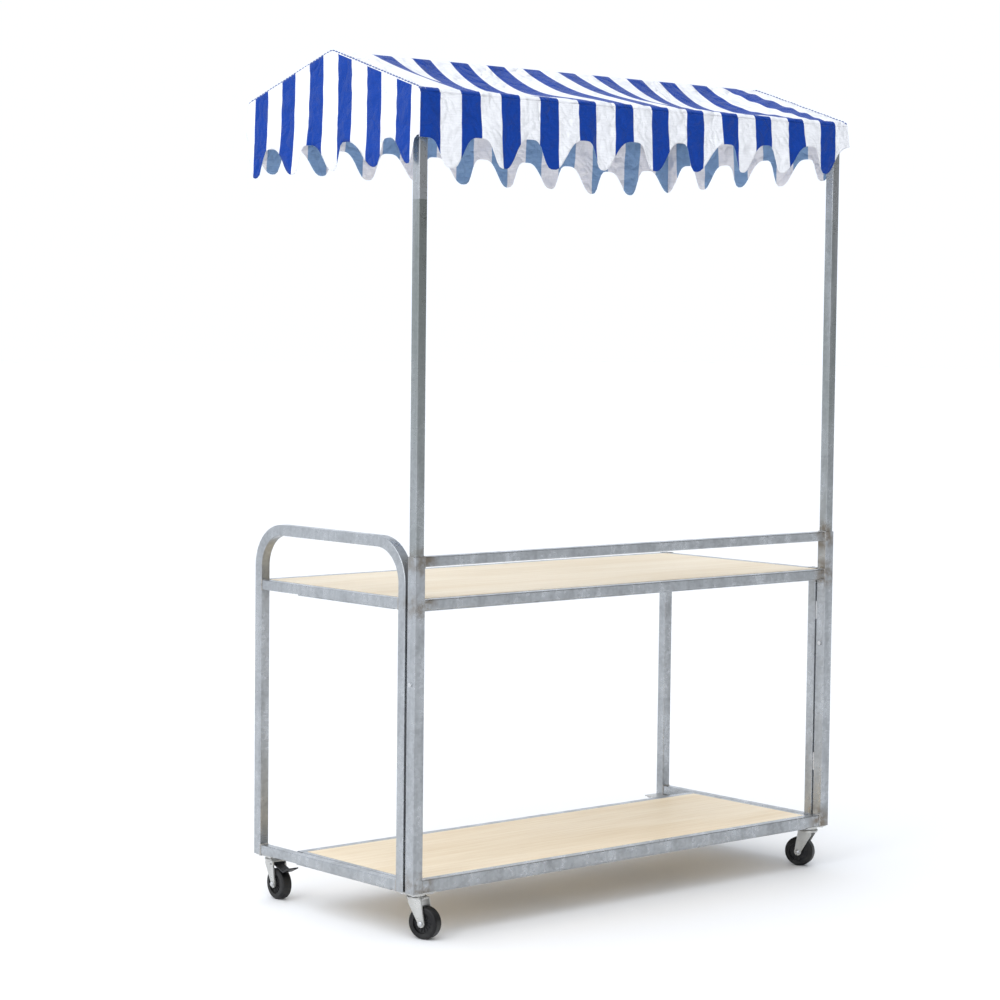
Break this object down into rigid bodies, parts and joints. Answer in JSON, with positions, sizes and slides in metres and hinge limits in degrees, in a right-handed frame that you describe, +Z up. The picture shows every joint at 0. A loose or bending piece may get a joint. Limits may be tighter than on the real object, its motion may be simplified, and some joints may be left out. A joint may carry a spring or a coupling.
{
  "type": "push vending cart",
  "caption": "Push cart for street vending: a square-tube frame on swivel casters with two board decks, a bent push arch, two masts and a striped gable canopy with scalloped valances.",
  "frame": {"origin": "on the ground at the middle of the cart", "axes": "+Z up; +X along the cart, away from the push arch; -Y towards the customers, where the masts stand"},
  "size_m": [1.216, 0.5763, 1.747],
  "materials": {
    "galvanised_tube": "hot-dip galvanised, lightly spangled",
    "bright_fastener": "zinc plated",
    "zinc_plate": "pressed and zinc plated",
    "tyre_rubber": "black rubber, semi-matt",
    "hub_plastic": "moulded, dark",
    "pedal_plastic": "moulded, black",
    "plywood": "pale faced board, clear sealed",
    "striped_cloth": "blue and white striped coated cloth"
  },
  "bodies": {
    "cart_frame": {"front_post_left": "galvanised_tube", "front_post_right": "galvanised_tube", "mast_stop_bolts": "bright_fastener", "guard_rail": "galvanised_tube", "shelf_front_rail": "galvanised_tube", "base_front_rail": "galvanised_tube", "handle_arch": "galvanised_tube", "left_shelf_rail": "galvanised_tube", "left_base_rail": "galvanised_tube", "right_shelf_rail": "galvanised_tube", "right_base_rail": "galvanised_tube", "right_front_leg": "galvanised_tube", "right_rear_leg": "galvanised_tube", "hinge_barrels_post": "bright_fastener", "hinge_barrels_frame": "bright_fastener", "hinge_pins": "bright_fastener", "shelf_ledges": "galvanised_tube", "base_ledges": "galvanised_tube", "caster_plates": "zinc_plate", "caster_nuts": "bright_fastener", "caster_kingpins": "zinc_plate"},
    "shelf_deck": {"shelf_board": "plywood", "shelf_back_rail": "galvanised_tube", "shelf_cross_bars": "galvanised_tube"},
    "base_deck": {"base_board": "plywood", "base_back_rail": "galvanised_tube", "base_cross_bars": "galvanised_tube", "base_end_bars": "galvanised_tube"},
    "masts": {"mast_left": "galvanised_tube", "mast_right": "galvanised_tube"},
    "canopy": {"canopy_leg_left": "galvanised_tube", "canopy_leg_right": "galvanised_tube", "eave_rail_front": "galvanised_tube", "eave_rail_back": "galvanised_tube", "eave_rails_end": "galvanised_tube", "ridge_rail": "galvanised_tube", "canopy_rafters": "galvanised_tube", "canopy_roof_front": "striped_cloth", "canopy_roof_back": "striped_cloth", "canopy_valances": "striped_cloth", "canopy_gables": "striped_cloth"},
    "swivel_front_left": {"fork_front_left": "zinc_plate", "axle_front_left": "zinc_plate"},
    "wheel_front_left": {"tyre_front_left": "tyre_rubber", "hub_front_left": "hub_plastic"},
    "swivel_front_right": {"fork_front_right": "zinc_plate", "axle_front_right": "zinc_plate"},
    "wheel_front_right": {"tyre_front_right": "tyre_rubber", "hub_front_right": "hub_plastic"},
    "swivel_back_left": {"fork_back_left": "zinc_plate", "axle_back_left": "zinc_plate"},
    "wheel_back_left": {"tyre_back_left": "tyre_rubber", "hub_back_left": "hub_plastic"},
    "pedal_back_left": {"brake_pedal_back_left": "pedal_plastic"},
    "swivel_back_right": {"fork_back_right": "zinc_plate", "axle_back_right": "zinc_plate"},
    "wheel_back_right": {"tyre_back_right": "tyre_rubber", "hub_back_right": "hub_plastic"},
    "pedal_back_right": {"brake_pedal_back_right": "pedal_plastic"}
  },
  "joints": [
    {"name": "mast_lift", "type": "slide", "parent": "cart_frame", "child": "masts", "axis": [0, 0, 1], "range_m": [0, 0.26]},
    {"name": "canopy_lift", "type": "slide", "parent": "masts", "child": "canopy", "axis": [0, 0, 1], "range_m": [0, 0.08]},
    {"name": "shelf_deck_lift", "type": "slide", "parent": "cart_frame", "child": "shelf_deck", "axis": [0, 0, 1], "range_m": [0, 0.05]},
    {"name": "base_deck_lift", "type": "slide", "parent": "cart_frame", "child": "base_deck", "axis": [0, 0, 1], "range_m": [0, 0.12]},
    {"name": "swivel_turn_front_left", "type": "hinge", "parent": "cart_frame", "child": "swivel_front_left", "pos_m": [-0.567, -0.237, 0.085], "axis": [0, 0, 1], "continuous": true},
    {"name": "wheel_spin_front_left", "type": "hinge", "parent": "swivel_front_left", "child": "wheel_front_left", "pos_m": [-0.5607, -0.25598, 0.0325], "axis": [-0.9491, -0.315, 0], "continuous": true},
    {"name": "swivel_turn_front_right", "type": "hinge", "parent": "cart_frame", "child": "swivel_front_right", "pos_m": [0.567, -0.237, 0.085], "axis": [0, 0, 1], "continuous": true},
    {"name": "wheel_spin_front_right", "type": "hinge", "parent": "swivel_front_right", "child": "wheel_front_right", "pos_m": [0.55884, -0.21874, 0.0325], "axis": [0.9129, 0.4081, 0], "continuous": true},
    {"name": "swivel_turn_back_left", "type": "hinge", "parent": "cart_frame", "child": "swivel_back_left", "pos_m": [-0.567, 0.237, 0.085], "axis": [0, 0, 1], "continuous": true},
    {"name": "wheel_spin_back_left", "type": "hinge", "parent": "swivel_back_left", "child": "wheel_back_left", "pos_m": [-0.5684, 0.21705, 0.0325], "axis": [-0.9975, 0.07, 0], "continuous": true},
    {"name": "brake_back_left", "type": "hinge", "parent": "swivel_back_left", "child": "pedal_back_left", "pos_m": [-0.56798, 0.22303, 0.0735], "axis": [-0.9975, 0.07, 0], "range_deg": [-7, 0]},
    {"name": "swivel_turn_back_right", "type": "hinge", "parent": "cart_frame", "child": "swivel_back_right", "pos_m": [0.567, 0.237, 0.085], "axis": [0, 0, 1], "continuous": true},
    {"name": "wheel_spin_back_right", "type": "hinge", "parent": "swivel_back_right", "child": "wheel_back_right", "pos_m": [0.57302, 0.21793, 0.0325], "axis": [-0.9536, -0.3011, 0], "continuous": true},
    {"name": "brake_back_right", "type": "hinge", "parent": "swivel_back_right", "child": "pedal_back_right", "pos_m": [0.57122, 0.22365, 0.0735], "axis": [-0.9536, -0.3011, 0], "range_deg": [-7, 0]}
  ]
}
